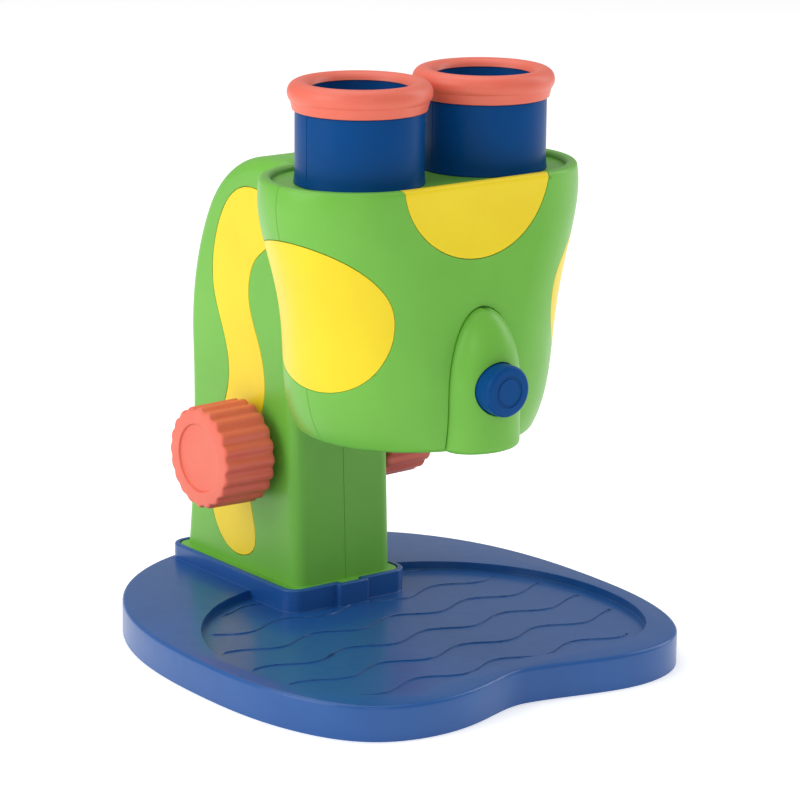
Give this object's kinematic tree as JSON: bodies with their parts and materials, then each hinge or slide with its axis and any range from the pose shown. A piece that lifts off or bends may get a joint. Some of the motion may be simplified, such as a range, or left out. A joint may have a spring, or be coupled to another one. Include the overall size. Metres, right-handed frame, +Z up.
{
  "type": "kids microscope",
  "caption": "Toy microscope: recessed stage base, upright column with side focus knobs, and a sliding head with twin eyepiece tubes, a lamp pod and a push button.",
  "frame": {"origin": "under the middle of the base, on the surface it stands on", "axes": "+Z up, front of the stage and the lamp button towards -Y, symmetric about X = 0, focus shaft along X"},
  "size_m": [0.1788, 0.1985, 0.2146],
  "materials": {
    "blue_base": "fine-textured moulded plastic",
    "blue_tube": "satin moulded plastic",
    "green_shell": "satin moulded plastic",
    "yellow_patch": "satin moulded plastic",
    "coral_plastic": "satin moulded plastic",
    "steel": "bright steel",
    "white_nylon": "plain nylon",
    "clear_lens": "clear moulded lens",
    "black_plastic": "black moulded plastic",
    "circuit_board": "varnished board",
    "cell_jacket": "plain wrapped cell",
    "clear_led": "clear epoxy"
  },
  "bodies": {
    "base": {"base_plate": "blue_base", "base_screws": "steel", "battery_cells": "cell_jacket", "battery_contacts": "steel", "battery_door": "green_shell", "battery_door_screw": "steel", "battery_tray": "black_plastic", "column_left": "green_shell", "column_right": "green_shell", "column_screws": "steel", "column_stripe_left": "yellow_patch", "column_stripe_right": "yellow_patch", "shaft_bush_left": "white_nylon", "shaft_bush_right": "white_nylon"},
    "focus": {"focus_shaft": "steel", "focus_pinion": "white_nylon", "focus_knob_left": "coral_plastic", "focus_knob_right": "coral_plastic"},
    "head": {"carriage_screws": "steel", "eyecup_left": "coral_plastic", "eyecup_right": "coral_plastic", "eyepiece_lens_left": "clear_lens", "eyepiece_lens_right": "clear_lens", "eyepiece_tube_left": "blue_tube", "eyepiece_tube_right": "blue_tube", "head_carriage": "white_nylon", "head_front_shell": "green_shell", "head_patch_front": "yellow_patch", "head_patch_left": "yellow_patch", "head_patch_right": "yellow_patch", "head_rear_shell": "green_shell", "head_screws": "steel", "lamp": "clear_led", "lamp_board": "circuit_board", "lens_ring_left": "black_plastic", "lens_ring_right": "black_plastic", "light_pod": "green_shell", "objective_holder": "black_plastic", "objective_lens": "clear_lens", "push_switch": "black_plastic"},
    "button": {"light_button": "blue_tube"}
  },
  "joints": [
    {"name": "knob_turn", "type": "hinge", "parent": "base", "child": "focus", "pos_m": [0, 0.0443, 0.0665], "axis": [-1, 0, 0], "range_deg": [-76.5, 95.6]},
    {"name": "head_slide", "type": "slide", "parent": "base", "child": "head", "axis": [0, 0, 1], "range_m": [-0.008, 0.01]},
    {"name": "button_press", "type": "slide", "parent": "head", "child": "button", "axis": [0, 1, 0], "range_m": [0, 0.0015], "stiffness_N_per_m": 600, "springref_m": -0.0006}
  ],
  "couplings": [
    {"joint": "knob_turn", "follows": "head_slide", "rad_per_m": 166.67}
  ]
}
